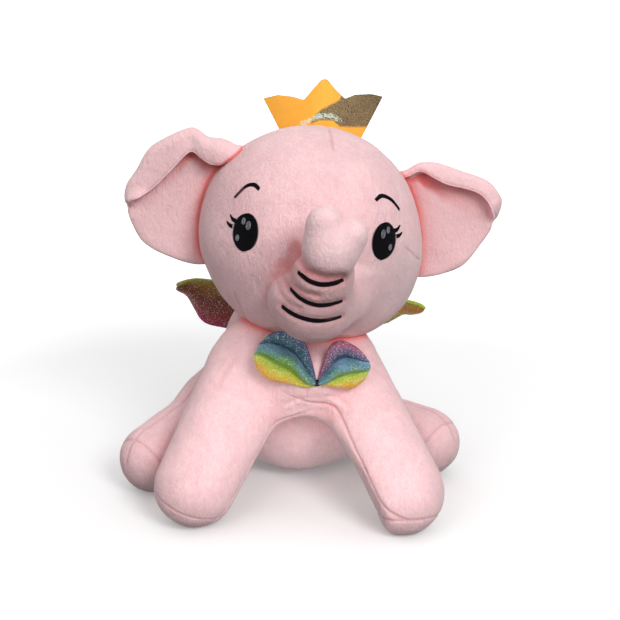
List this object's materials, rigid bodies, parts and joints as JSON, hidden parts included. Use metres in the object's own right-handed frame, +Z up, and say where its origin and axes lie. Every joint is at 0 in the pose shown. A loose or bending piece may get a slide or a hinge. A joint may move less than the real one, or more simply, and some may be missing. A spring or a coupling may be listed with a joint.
{
  "type": "stuffed elephant",
  "caption": "Sitting stuffed toy elephant with a big round head, raised trunk, floppy ears, small wings, a bow and a soft crown.",
  "frame": {"origin": "on the floor, at the middle of the toy's bounding box", "axes": "+Z up, the toy faces -Y, its own left side is at +X"},
  "size_m": [0.2746, 0.241, 0.2935],
  "materials": {
    "pink_velour": "short-pile velour",
    "rainbow_glitter_fabric": "rainbow glitter tulle over satin",
    "gold_leatherette": "metallic foil leatherette",
    "black_thread": "satin stitch embroidery",
    "grey_thread": "satin stitch embroidery",
    "fibre_filling": "polyester fibre"
  },
  "bodies": {
    "torso": {"torso_chest_cover": "pink_velour", "torso_right_flank_cover": "pink_velour", "torso_left_flank_cover": "pink_velour", "torso_base_cover": "pink_velour", "torso_filling": "fibre_filling", "bow_stitching": "rainbow_glitter_fabric"},
    "neck": {"neck_filling": "fibre_filling"},
    "head": {"head_face_cover": "pink_velour", "head_back_right_cover": "pink_velour", "head_back_left_cover": "pink_velour", "head_filling": "fibre_filling", "muzzle_cover": "pink_velour", "muzzle_filling": "fibre_filling", "eye_right_patch": "black_thread", "eye_right_highlights": "grey_thread", "eye_right_lashes": "black_thread", "brow_right": "black_thread", "eye_left_patch": "black_thread", "eye_left_highlights": "grey_thread", "eye_left_lashes": "black_thread", "brow_left": "black_thread"},
    "trunk": {"trunk_cover": "pink_velour", "trunk_tip_cover": "pink_velour", "trunk_filling": "fibre_filling", "trunk_line_stitching": "black_thread"},
    "crown": {"crown": "gold_leatherette"},
    "tail": {"tail_cover": "pink_velour", "tail_filling": "fibre_filling"},
    "ear_right": {"ear_right_back": "pink_velour", "ear_right_wadding": "fibre_filling", "ear_right_front": "pink_velour"},
    "wing_right": {"wing_right_back": "rainbow_glitter_fabric", "wing_right_wadding": "fibre_filling", "wing_right_front": "rainbow_glitter_fabric"},
    "bow_right": {"bow_right_lobe": "rainbow_glitter_fabric"},
    "front_leg_right": {"front_leg_right_cover": "pink_velour", "front_leg_right_sole": "pink_velour", "front_leg_right_filling": "fibre_filling"},
    "hind_leg_right": {"hind_leg_right_cover": "pink_velour", "hind_leg_right_sole": "pink_velour", "hind_leg_right_filling": "fibre_filling"},
    "ear_left": {"ear_left_back": "pink_velour", "ear_left_wadding": "fibre_filling", "ear_left_front": "pink_velour"},
    "wing_left": {"wing_left_back": "rainbow_glitter_fabric", "wing_left_wadding": "fibre_filling", "wing_left_front": "rainbow_glitter_fabric"},
    "bow_left": {"bow_left_lobe": "rainbow_glitter_fabric"},
    "front_leg_left": {"front_leg_left_cover": "pink_velour", "front_leg_left_sole": "pink_velour", "front_leg_left_filling": "fibre_filling"},
    "hind_leg_left": {"hind_leg_left_cover": "pink_velour", "hind_leg_left_sole": "pink_velour", "hind_leg_left_filling": "fibre_filling"}
  },
  "joints": [
    {"name": "neck_turn", "type": "hinge", "parent": "torso", "child": "neck", "pos_m": [0, 0.018, 0.118], "axis": [0, 0, 1], "range_deg": [-15, 15], "stiffness_Nm_per_rad": 1.2},
    {"name": "head_nod", "type": "hinge", "parent": "neck", "child": "head", "pos_m": [0, 0.018, 0.118], "axis": [0.9976, 0, -0.0698], "range_deg": [-10, 8], "stiffness_Nm_per_rad": 2},
    {"name": "trunk_bend", "type": "hinge", "parent": "head", "child": "trunk", "pos_m": [0.00025, -0.08, 0.16492], "axis": [0.9976, 0, -0.0698], "range_deg": [-15, 6], "stiffness_Nm_per_rad": 0.15},
    {"name": "crown_bend", "type": "hinge", "parent": "head", "child": "crown", "pos_m": [0.00502, 0.023, 0.26182], "axis": [0.9976, 0, -0.0698], "range_deg": [-5, 15], "stiffness_Nm_per_rad": 0.02},
    {"name": "ear_right_flap", "type": "hinge", "parent": "head", "child": "ear_right", "pos_m": [-0.0735, 0.018, 0.205], "axis": [0, 0, 1], "range_deg": [-20, 16], "stiffness_Nm_per_rad": 0.08},
    {"name": "ear_left_flap", "type": "hinge", "parent": "head", "child": "ear_left", "pos_m": [0.0735, 0.018, 0.195], "axis": [0, 0, 1], "range_deg": [-16, 20], "stiffness_Nm_per_rad": 0.08},
    {"name": "wing_right_flap", "type": "hinge", "parent": "torso", "child": "wing_right", "pos_m": [-0.012, 0.0735, 0.11], "axis": [0, 0, 1], "range_deg": [-8, 20], "stiffness_Nm_per_rad": 0.02},
    {"name": "wing_left_flap", "type": "hinge", "parent": "torso", "child": "wing_left", "pos_m": [0.012, 0.0735, 0.11], "axis": [0, 0, 1], "range_deg": [-20, 8], "stiffness_Nm_per_rad": 0.02},
    {"name": "tail_swing", "type": "hinge", "parent": "torso", "child": "tail", "pos_m": [0, 0.116, 0.042], "axis": [0, 1, 0], "range_deg": [-25, 25], "stiffness_Nm_per_rad": 0.02},
    {"name": "bow_right_flex", "type": "hinge", "parent": "torso", "child": "bow_right", "pos_m": [-0.004, -0.0515, 0.1], "axis": [0, 0, 1], "range_deg": [-7, 10], "stiffness_Nm_per_rad": 0.01},
    {"name": "bow_left_flex", "type": "hinge", "parent": "torso", "child": "bow_left", "pos_m": [0.004, -0.0515, 0.1], "axis": [0, 0, 1], "range_deg": [-10, 7], "stiffness_Nm_per_rad": 0.01},
    {"name": "front_leg_right_swing", "type": "hinge", "parent": "torso", "child": "front_leg_right", "pos_m": [-0.044, -0.016, 0.078], "axis": [1, 0, 0], "range_deg": [-10, 0], "stiffness_Nm_per_rad": 0.6},
    {"name": "front_leg_left_swing", "type": "hinge", "parent": "torso", "child": "front_leg_left", "pos_m": [0.042, -0.016, 0.079], "axis": [1, 0, 0], "range_deg": [-10, 0], "stiffness_Nm_per_rad": 0.6},
    {"name": "hind_leg_right_swing", "type": "hinge", "parent": "torso", "child": "hind_leg_right", "pos_m": [-0.058, 0.052, 0.046], "axis": [0, 0, 1], "range_deg": [-15, 6], "stiffness_Nm_per_rad": 0.6},
    {"name": "hind_leg_left_swing", "type": "hinge", "parent": "torso", "child": "hind_leg_left", "pos_m": [0.058, 0.054, 0.044], "axis": [0, 0, 1], "range_deg": [-6, 15], "stiffness_Nm_per_rad": 0.6}
  ]
}
